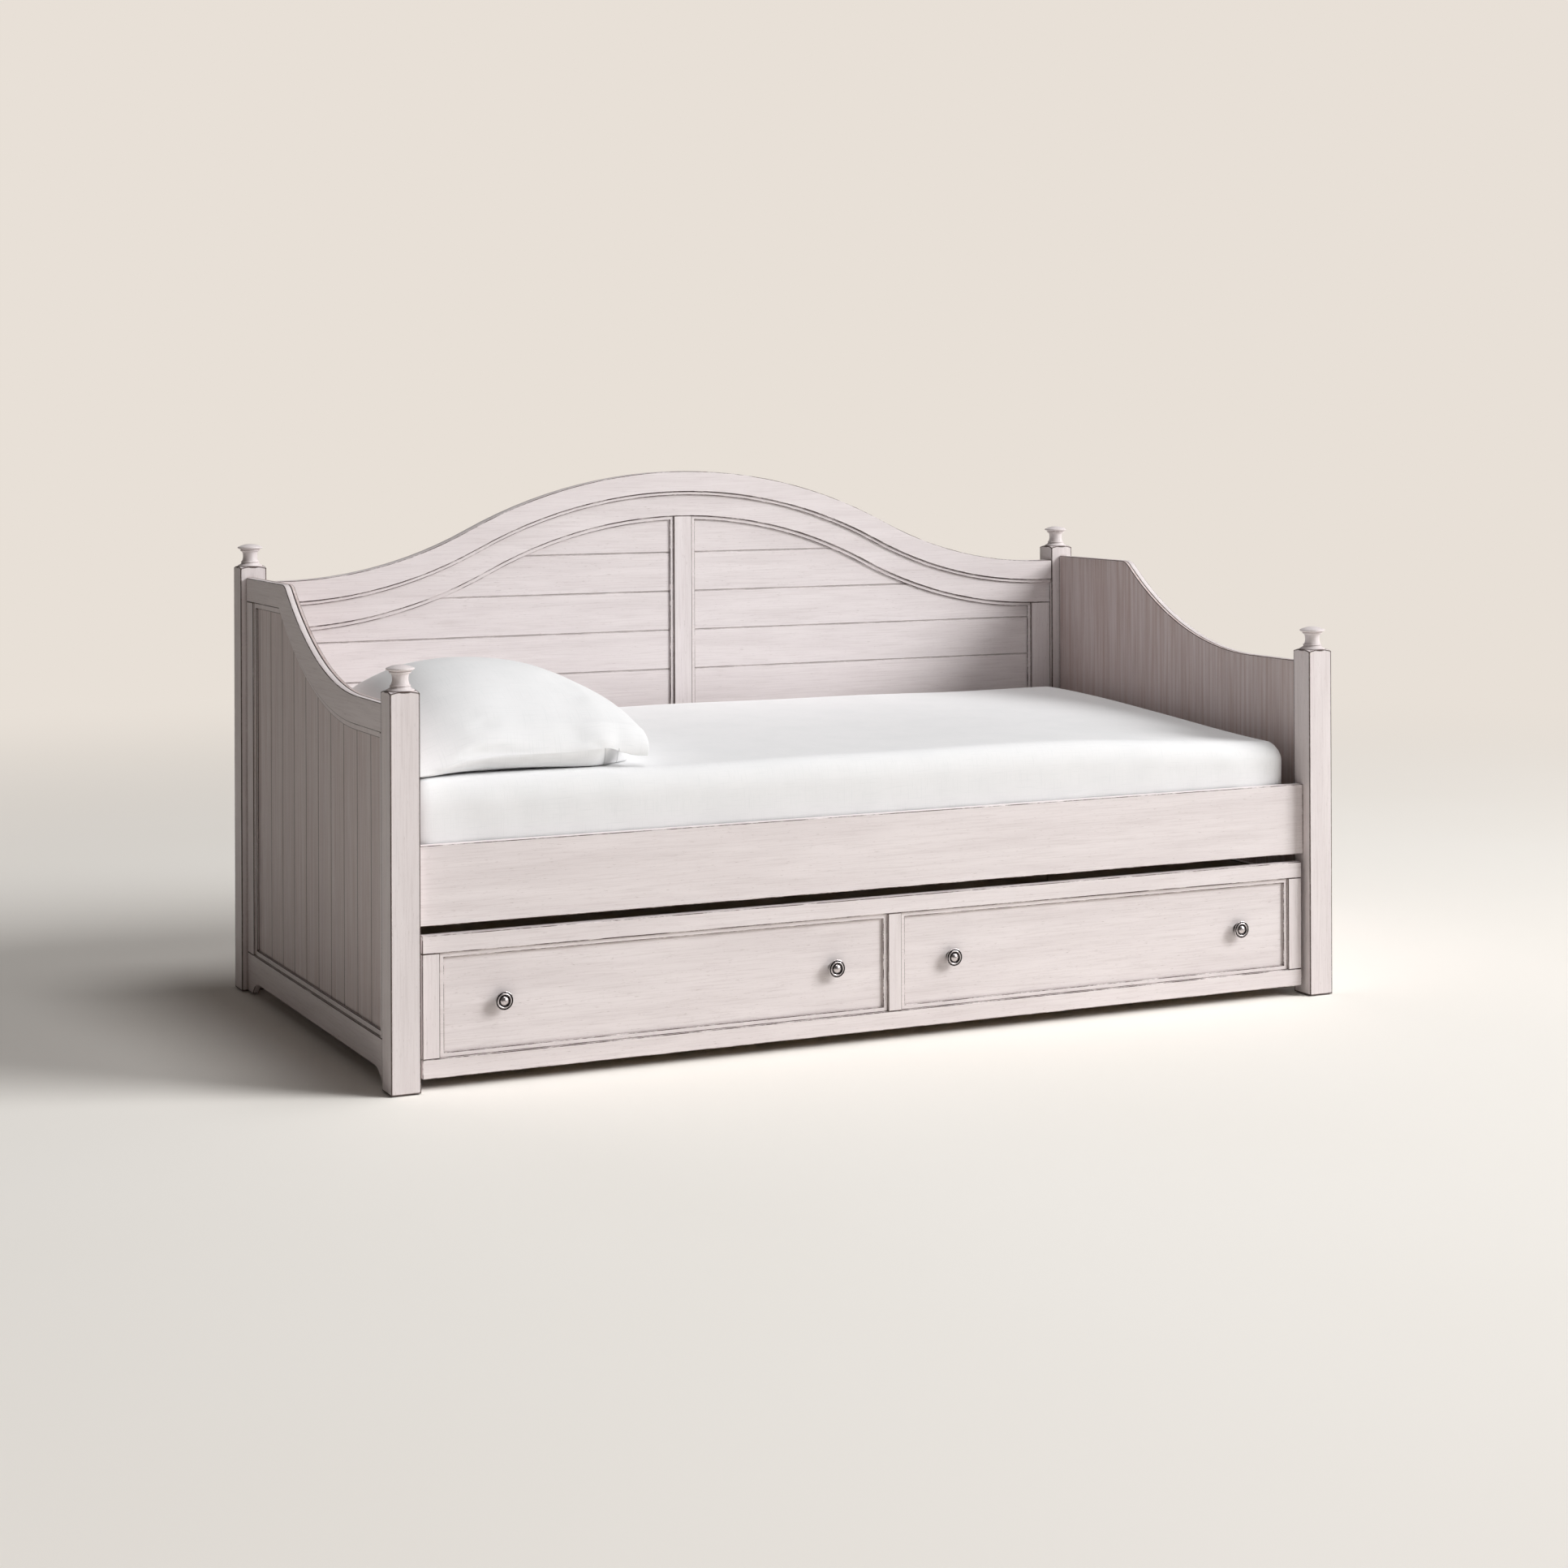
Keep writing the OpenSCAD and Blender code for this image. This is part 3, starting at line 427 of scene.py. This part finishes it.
def wovenCotton(name, c):
    # warp and weft are two sets of ridges over the cloth's own flat measure, held in its UV map in metres
    made, tree = newMaterial(name)
    flat = addNode(tree, "TexCoord", out="UV")
    ridges, slubs = [], []
    for k in (0, 1):
        across = addNode(tree, "SeparateXYZ", None, {0: flat}, k)
        turned = addNode(tree, "Math", times, {0: across, 1: math.pi * 1000 / c["threadMm"]})
        wave = addNode(tree, "Math", {"operation": "SINE"}, {0: turned})
        ridges.append(addNode(tree, "Math", {"operation": "ABSOLUTE"}, {0: wave}))
        slubs.append(grainNoise(tree, flat, k, c["slubMm"], 2.0))
    weave = addNode(tree, "Math", times, {0: ridges[0], 1: ridges[1]})
    slub = addNode(tree, "Math", {"operation": "MAXIMUM"}, {0: slubs[0], 1: slubs[1]})
    clouds = addNode(tree, "TexNoise", None, {"Vector": flat, "Scale": 1000 / c["cloudMm"], "Detail": 2.0})
    amount = addNode(tree, "MapRange", eased, {0: slub, 1: 0.5, 2: 0.8})
    colour = addNode(tree, "Mix", colours, {0: amount, 6: linear(c["white"]), 7: linear(c["shade"])}, 2)
    amount = addNode(tree, "MapRange", eased, {0: clouds, 1: 0.4, 2: 0.7, 3: 0.0, 4: 0.35})
    colour = addNode(tree, "Mix", colours, {0: amount, 6: colour, 7: linear(c["shade"])}, 2)
    height = addNode(tree, "Mix", None, {0: 0.72, 2: weave, 3: slub})
    for hem in c.get("hems", ()):
        # a row of stitches pulls the cloth into a narrow groove, and the groove is drawn grey: painted shade
        off = addNode(tree, "Math", minus, {0: addNode(tree, "SeparateXYZ", None, {0: flat}), 1: hem})
        off = addNode(tree, "Math", {"operation": "ABSOLUTE"}, {0: off})
        near = addNode(tree, "MapRange", eased, {0: off, 1: 0.0022, 2: 0.0008})
        amount = addNode(tree, "Math", times, {0: near, 1: 0.6})
        colour = addNode(tree, "Mix", colours, {0: amount, 6: colour, 7: linear(c["grooveShade"])}, 2)
        height = addNode(tree, "Math", minus, {0: height, 1: near})
    bump = addNode(tree, "Bump", None, {"Strength": 0.22, "Distance": 0.001, "Height": height})
    surface(tree, {"Base Color": colour, "Roughness": c["roughness"], "IOR": 1.5, "Sheen Weight": 0.12,
                   "Sheen Roughness": 0.5, "Normal": bump})
    return made


sheetCotton = wovenCotton("cotton percale, plain woven", percale)
tickingCotton = wovenCotton("cotton ticking, tightly woven", ticking)


def meshFromGrid(name, points, faces, flat, material):
    # points and flat are arrays, one row per corner; corners that lie in one place become one,
    # and a cell that this makes flat is left out
    keys = np.round(points * 1e5).astype(np.int64)
    first, index = np.unique(keys, axis=0, return_index=True, return_inverse=True)[1:]
    quads = index.reshape(-1)[faces]
    ordered = np.sort(quads, axis=1)
    whole = (ordered[:, 1:] != ordered[:, :-1]).all(axis=1)
    data = bpy.data.meshes.new(name)
    data.from_pydata(points[first].tolist(), [], quads[whole].tolist())
    layer = data.uv_layers.new(name="cut")
    layer.data.foreach_set("uv", flat[faces[whole]].astype(np.float32).ravel())
    data.polygons.foreach_set("use_smooth", np.ones(len(data.polygons), bool))
    data.materials.append(material)
    data.update()
    made = bpy.data.objects.new(name, data)
    scene.collection.objects.link(made)
    return made


def gridFaces(columns, rows, start=0):
    # four corners of every cell of a grid of points, row by row, counterclockwise
    i, j = np.meshgrid(np.arange(columns - 1), np.arange(rows - 1), indexing="xy")
    a = (start + j * columns + i).ravel()
    return np.stack([a, a + 1, a + 1 + columns, a + columns], axis=1)


# ---- mattress ----

lowBed, highBed = (np.array(c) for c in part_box("mattress"))
mattress = {
    "round": (0.032, 0.034, 0.056),  # how far its rounded edges reach along x, y and z
    "frontDrop": 0.011,  # how much lower the top is along the front
    "backRise": 0.0075,  # how much higher it is along the back
    "cornerDrop": 0.026,  # how much lower still at the front right corner
    "step": 0.012,  # size of one cell of the mesh
    "hem": 0.065,  # how far the fitted sheet turns under
    "sheetGap": 0.004,
    "wrinkle": 0.0006,
}
bedMiddle, bedHalf = (lowBed + highBed) / 2, (highBed - lowBed) / 2


def smooth(low, high, value):
    t = np.clip((value - low) / (high - low), 0, 1)
    return t * t * (3 - 2 * t)


def topDrop(x, y):
    # how far the top of the mattress lies below its nominal level: rises to the back, falls gently
    # to the front, and more so towards the front right corner
    a, b = (x - bedMiddle[0]) / bedHalf[0], (y - bedMiddle[1]) / bedHalf[1]
    front = mattress["frontDrop"] * np.clip(0.25 - 0.75 * b, 0, 1) ** 1.6
    corner = mattress["cornerDrop"] * smooth(0.45, 1.0, a) * smooth(0.9, -0.9, b)
    soft = 0.0012 * np.sin(5.1 * x + 0.6) * np.sin(7.7 * y + 1.9) + 0.0008 * np.sin(13.0 * x - 2.0 * y)
    back = mattress["backRise"] * smooth(0.0, 0.85, b) * (1 - 0.4 * smooth(-0.5, 1.0, a))
    return front + corner - back + 0.0012 + soft


def boxShell(half, step):
    # the six faces of a box as grids: for each, two axes run and the third stays at its end
    points, faces, start = [], [], 0
    for axis in range(3):
        u, v = (axis + 1) % 3, (axis + 2) % 3
        counts = [max(3, int(round(2 * half[k] / step))) + 1 for k in (u, v)]
        for end in (-1, 1):
            pu, pv = np.meshgrid(np.linspace(-half[u], half[u], counts[0]),
                                 np.linspace(-half[v], half[v], counts[1]), indexing="xy")
            grid = np.zeros((pu.size, 3))
            grid[:, u], grid[:, v], grid[:, axis] = pu.ravel(), pv.ravel(), end * half[axis]
            quads = gridFaces(counts[0], counts[1], start)
            points.append(grid)
            faces.append(quads if end > 0 else quads[:, ::-1])
            start += len(grid)
    return np.concatenate(points), np.concatenate(faces)


def roundBox(points, half, reach):
    # rounded box: a point of the box moves onto an ellipsoid of half axes reach, set about the nearest point
    # of a box smaller by that reach
    inner = np.clip(points, -(half - reach), half - reach)
    away = (points - inner) / reach
    return inner + away / np.maximum(np.linalg.norm(away, axis=1), 1e-9)[:, None] * reach


def unfold(points, half):
    # flat measure of the cloth: across the top, then down over whichever side a point is on
    flat = points[:, :2].copy()
    drop = half[2] - points[:, 2]
    for k in (0, 1):
        side = np.abs(points[:, k]) > half[k] - 1e-6
        flat[side, k] += np.sign(points[side, k]) * drop[side]
    return flat


def mattressShell(inset, wrinkled):
    # a rounded box, its top lowered as topDrop says, with slack folds near its upright edges
    m = mattress
    half = bedHalf - inset
    raw, faces = boxShell(half, m["step"])
    shaped = roundBox(raw, half, np.array(m["round"]) - inset)
    world = shaped + bedMiddle
    up = smooth(-0.2, 1.0, shaped[:, 2] / half[2])
    world[:, 2] -= up * topDrop(world[:, 0], world[:, 1])
    if wrinkled:
        side = 1 - smooth(0.75, 0.98, np.abs(shaped[:, 2]) / half[2])
        near = np.exp(-((half[0] - np.abs(shaped[:, 0])) / 0.16) ** 2) + 0.25
        fold = np.sin(46 * shaped[:, 0] + 30 * shaped[:, 2] + 3 * np.sin(9 * shaped[:, 0]))
        facing = smooth(0.9, 1.0, np.abs(shaped[:, 1]) / half[1])
        world[:, 1] -= np.sign(shaped[:, 1]) * (1 + fold) * m["wrinkle"] * side * near * facing
    return raw, faces, world


def makeMattress():
    m = mattress
    raw, faces, world = mattressShell(m["sheetGap"], False)
    core = meshFromGrid("mattress_core", world, faces, unfold(raw, bedHalf), tickingCotton)
    raw, faces, world = mattressShell(0.0, True)
    centre = raw[faces].mean(axis=1)
    under = (centre[:, 2] < -bedHalf[2] + 1e-6) & (np.abs(centre[:, 0]) < bedHalf[0] - m["hem"]) \
        & (np.abs(centre[:, 1]) < bedHalf[1] - m["hem"])
    cover = meshFromGrid("fitted_sheet", world, faces[~under], unfold(raw, bedHalf), sheetCotton)
    thick = cover.modifiers.new("cloth thickness", "SOLIDIFY")
    thick.thickness = 0.0008
    thick.offset = -1
    return core, cover


core, cover = makeMattress()
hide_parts("mattress")
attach(core, "mattress")
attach(cover, "mattress")
print("mattress made")

# ---- pillow ----

lowPillow, highPillow = (np.array(c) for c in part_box("pillow"))
pillow = {
    "flat": (0.56, 0.68),  # metres, the case laid flat
    "underStart": 1.0,  # where the lower cloth begins in the flat measure
    "hems": (0.735, 0.815),  # shares of the width, the two stitched lines on the lower cloth
    "columns": 92,
    "rows": 104,
    # side view of the upper cloth, left to right: share of the way, x, height
    "crown": ((0.0, -1.008, 0.612), (0.04, -1.000, 0.660), (0.1, -0.972, 0.706), (0.2, -0.905, 0.746),
              (0.32, -0.825, 0.7625), (0.45, -0.742, 0.7635), (0.58, -0.662, 0.753), (0.7, -0.598, 0.734),
              (0.8, -0.556, 0.716), (0.9, -0.519, 0.696), (1.0, -0.496, 0.677)),
    # the front seam, left to right: share of the way, x, height
    "seam": ((0.0, -1.004, 0.574), (0.1, -0.960, 0.573), (0.2, -0.900, 0.589), (0.32, -0.838, 0.605),
             (0.45, -0.760, 0.603), (0.62, -0.650, 0.603), (0.75, -0.590, 0.607), (0.83, -0.562, 0.597),
             (0.9, -0.537, 0.590), (1.0, -0.507, 0.588)),
    # shares of the width between which the filling ends and the empty case begins, at the front and inside
    "flap": ((0.68, 0.83), (0.93, 1.0)),
    "flapGap": 0.004,
    "pinch": 0.02,
    "slack": 0.002,  # how much lower the crown starts, before it swells
    "pressure": 0.15,
    "fold": (-0.86, 0.022, 0.0022),  # row, width in rows and height of the long fold near the front
    "frames": 20,
    "mostMove": 0.007,
    "lift": 0.0006,  # clear of the sheet
    "backSeam": (0.598, 0.006),  # height, and how far it waves
    "foldFade": (0.3, 0.5),  # shares of the width between which the long fold comes up
    "pucker": 0.0022,
    "heldFrom": (-0.64, -0.55),  # metres along x between which the filling ends and points are held
    "heldShare": 0.85,  # how much of its movement a held point loses
}


def restHeight(x, y):
    # how high the case lies where it rests on the sheet
    return lowPillow[2] - topDrop(x, y) + pillow["lift"]


def softMax(a, b, width):
    # the larger of two heights, with the change between them rounded over width
    return b + width * np.logaddexp(0, (a - b) / width)


def pillowPoints():
    p = pillow
    s = 0.5 - 0.5 * np.cos(np.linspace(0, math.pi, p["columns"]))
    s = 0.55 * s + 0.45 * np.linspace(0, 1, p["columns"])
    v = np.sin(np.linspace(-math.pi / 2, math.pi / 2, p["rows"]))
    share, row = np.meshgrid(s, v, indexing="xy")
    crown, seam = np.array(p["crown"]), np.array(p["seam"])
    curve = lambda table, column: smoothCurve(table[:, 0], table[:, column], share)
    crownX, crownZ, seamX, seamZ = curve(crown, 1), curve(crown, 2), curve(seam, 1), curve(seam, 2)
    back = row > 0
    seamHigh, seamWave = p["backSeam"]
    seamZ = np.where(back, seamHigh + seamWave * np.sin(7 * share), seamZ)
    steep = 0.85 - 0.40 * smooth(0.5, 1.0, share)
    rise = (1 - np.abs(row) ** 2) ** steep
    x = seamX + (crownX - seamX) * smooth(0, 0.5, rise)
    halfY = (highPillow[1] - lowPillow[1]) / 2 - 0.004
    middleY = (highPillow[1] + lowPillow[1]) / 2
    y = middleY + halfY * row * (1 - p["pinch"] * np.sin(math.pi * share))
    ease = np.abs(row) ** 6
    x = x + p["pinch"] * 0.5 * (1 - ease) * (1 - 2 * share) * np.abs(1 - 2 * share) ** 5
    top = seamZ + (crownZ - p["slack"] - seamZ) * rise
    foldRow, foldWide, foldHigh = p["fold"]
    foldRow = foldRow + 0.02 * np.sin(5 * share + 0.5)
    top = top + foldHigh * np.exp(-((row - foldRow) / foldWide) ** 2) * smooth(*p["foldFade"], share)
    pucker = np.sin(58 * x + 2.2 * np.sin(11 * x)) * np.exp(-((1 - np.abs(row)) / 0.16)) * (1 - ease * 0.6)
    top = top + p["pucker"] * pucker * smooth(0, 0.15, rise)
    low = restHeight(x, y)
    fall = (1 - np.abs(row) ** 12) ** 0.85 * smooth(0.0, 0.06, share)
    belly = seamZ + (low - 0.02 - seamZ) * fall
    outer = smooth(0.7, 0.97, np.abs(row))
    starts, ends = (p["flap"][1][k] + (p["flap"][0][k] - p["flap"][1][k]) * outer for k in (0, 1))
    inFlap = smooth(starts, ends, share)
    lower = softMax(belly, low, 0.003) * (1 - inFlap) + (top - p["flapGap"] * smooth(0, 0.2, rise)) * inFlap
    lower = np.minimum(lower, top)
    lower[0], lower[-1] = top[0], top[-1]
    lower[:, 0], lower[:, -1] = top[:, 0], top[:, -1]
    stack = lambda z: np.stack([x.ravel(), y.ravel(), z.ravel()], axis=1)
    return stack(top), stack(lower), share.ravel(), row.ravel()


def smoothCurve(knots, values, at):
    # a cubic through the knots, with each knot's slope taken from its neighbours
    slopes = np.gradient(values, knots)
    k = np.clip(np.searchsorted(knots, at) - 1, 0, len(knots) - 2)
    span = knots[k + 1] - knots[k]
    t = (at - knots[k]) / span
    a, b = values[k], values[k + 1]
    return ((1 + 2 * t) * (1 - t) ** 2 * a + t * t * (3 - 2 * t) * b
            + span * (t * (1 - t) ** 2 * slopes[k] - t * t * (1 - t) * slopes[k + 1]))


def swell(piece, kept):
    # cloth under light pressure for a few frames; no point moves further than the cap, and each keeps
    # only its own share of the movement
    p = pillow
    rest = np.zeros(len(piece.data.vertices) * 3, np.float32)
    piece.data.vertices.foreach_get("co", rest)
    rest = rest.reshape(-1, 3).astype(float)
    cloth = piece.modifiers.new("swell", "CLOTH")
    cloth.settings.quality = 5
    cloth.settings.mass = 0.2
    cloth.settings.tension_stiffness = 12
    cloth.settings.compression_stiffness = 8
    cloth.settings.bending_stiffness = 0.4
    cloth.settings.use_pressure = True
    cloth.settings.uniform_pressure_force = p["pressure"]
    cloth.settings.shrink_min = -0.015
    cloth.settings.effector_weights.gravity = 0
    cloth.point_cache.frame_start = 1
    cloth.point_cache.frame_end = p["frames"]
    for f in range(1, p["frames"] + 1):
        scene.frame_set(f)
    moved = piece.evaluated_get(bpy.context.evaluated_depsgraph_get()).to_mesh()
    after = np.zeros(len(moved.vertices) * 3, np.float32)
    moved.vertices.foreach_get("co", after)
    after = after.reshape(-1, 3).astype(float)
    piece.modifiers.remove(cloth)
    scene.frame_set(1)
    step = after - rest
    size = np.linalg.norm(step, axis=1)
    loose = size[kept > 0.5]
    print("pillow cloth moved", round(float(np.median(loose)) * 1000, 1), "mm in the middle of its range and",
          round(float(size.max()) * 1000, 1), "mm at most;", round(float((loose > p["mostMove"]).mean()) * 100),
          "in 100 of its loose points are held back by the cap")
    step *= (np.tanh(size / p["mostMove"]) * p["mostMove"] / np.maximum(size, 1e-9) * kept)[:, None]
    piece.data.vertices.foreach_set("co", (rest + step).astype(np.float32).ravel())
    piece.data.update()


def settle(piece):
    # nothing of the pillow sinks into the sheet or leaves its space
    count = len(piece.data.vertices)
    co = np.zeros(count * 3, np.float32)
    piece.data.vertices.foreach_get("co", co)
    co = co.reshape(-1, 3).astype(float)
    co[:, 2] = np.maximum(co[:, 2], restHeight(co[:, 0], co[:, 1]))
    co[:, 0] = np.clip(co[:, 0], lowPillow[0] + 0.001, highPillow[0] + 0.004)
    piece.data.vertices.foreach_set("co", co.astype(np.float32).ravel())
    piece.data.update()


def makePillow():
    p = pillow
    top, lower, share, row = pillowPoints()
    upper = gridFaces(p["columns"], p["rows"])
    under = gridFaces(p["columns"], p["rows"], len(top))[:, ::-1]
    flat = np.stack([share * p["flat"][0], row * p["flat"][1] / 2], axis=1)
    made = meshFromGrid("pillow_in_case", np.concatenate([top, lower]), np.concatenate([upper, under]),
                        np.concatenate([flat, flat + [p["underStart"], 0]]), caseCotton)
    co = np.zeros(len(made.data.vertices) * 3, np.float32)
    made.data.vertices.foreach_get("co", co)
    x = co.reshape(-1, 3)[:, 0]
    swell(made, 1 - p["heldShare"] * smooth(*p["heldFrom"], x))
    settle(made)
    fine = made.modifiers.new("smooth cloth", "SUBSURF")
    fine.levels = fine.render_levels = 1
    return made


stitched = tuple(pillow["underStart"] + share * pillow["flat"][0] for share in pillow["hems"])
caseCotton = wovenCotton("cotton percale, hemmed", {**percale, "hems": stitched})
case = makePillow()
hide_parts("pillow")
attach(case, "pillow")
print("pillow made")

# ---- room ----

room = {
    "floor": ("#FCF9F4", "#F9F5EE"),
    "backdrop": "#E8E0D7",
    "fill": "#FFF0E6",
    "ambient": 0.06,
    "cloudPerMetre": 0.7,
    "aim": (0.1, 0.0, 0.5),
    "half": 40.0,  # metres
    "fadeFrom": 1.5,  # metres from the bed, where the floor starts to fade into the backdrop
    "fadeTo": 7.0,
}
lights = {  # place in metres, width in metres, watts
    "key": ((13.7, -9.9, 10.2), 9.6, 3650),
    "overhead": ((1.5, -1.5, 9.5), 4.0, 285),
    "rim": ((-2.0, 9.5, 5.0), 4.0, 50),
}


def areaLight(name, place, size, watts):
    data = bpy.data.lights.new(name, "AREA")
    data.shape = "DISK"
    data.size = size
    data.energy = watts
    made = bpy.data.objects.new(name, data)
    made.location = place
    made.rotation_euler = (Vector(room["aim"]) - Vector(place)).to_track_quat("-Z", "Y").to_euler()
    scene.collection.objects.link(made)


def makeFloor():
    # one flat square; far from the bed it takes the backdrop's colour, for the camera only
    half = room["half"]
    data = bpy.data.meshes.new("floor")
    corners = [(-half, -half, 0), (half, -half, 0), (half, half, 0), (-half, half, 0)]
    data.from_pydata(corners, [], [(0, 1, 2, 3)])
    floor = bpy.data.objects.new("floor", data)
    scene.collection.objects.link(floor)
    made, tree = newMaterial("painted concrete floor")
    place = addNode(tree, "TexCoord", out="Object")
    cloud = addNode(tree, "TexNoise", None, {"Vector": place, "Scale": room["cloudPerMetre"], "Detail": 2.0})
    light, dark = (linear(code) for code in room["floor"])
    colour = addNode(tree, "Mix", colours, {0: cloud, 6: light, 7: dark}, 2)
    paint = addNode(tree, "BsdfDiffuse", None, {0: colour})
    far = addNode(tree, "Emission", None, {0: linear(room["backdrop"])})
    away = addNode(tree, "VectorMath", {"operation": "LENGTH"}, {0: place}, "Value")
    fade = addNode(tree, "MapRange", eased, {0: away, 1: room["fadeFrom"], 2: room["fadeTo"]})
    seen = addNode(tree, "LightPath", out="Is Camera Ray")
    share = addNode(tree, "Math", times, {0: fade, 1: seen})
    both = addNode(tree, "MixShader", None, {0: share, 1: paint, 2: far})
    addNode(tree, "OutputMaterial", None, {0: both})
    data.materials.append(made)


def makeWorld():
    # the camera sees the backdrop's colour; the bed is lit by a dimmer one
    world = bpy.data.worlds.new("studio")
    scene.world = world
    world.use_nodes = True
    tree = world.node_tree
    tree.nodes.clear()
    backdrop = addNode(tree, "Background", None, {0: linear(room["backdrop"]), 1: 1.0})
    fill = addNode(tree, "Background", None, {0: linear(room["fill"]), 1: room["ambient"]})
    seen = addNode(tree, "LightPath", out="Is Camera Ray")
    both = addNode(tree, "MixShader", None, {0: seen, 1: fill, 2: backdrop})
    addNode(tree, "OutputWorld", None, {0: both})


makeFloor()
makeWorld()
for name, (place, size, watts) in lights.items():
    areaLight(name, place, size, watts)
scene.view_settings.view_transform = "Standard"
print("room and lights made")
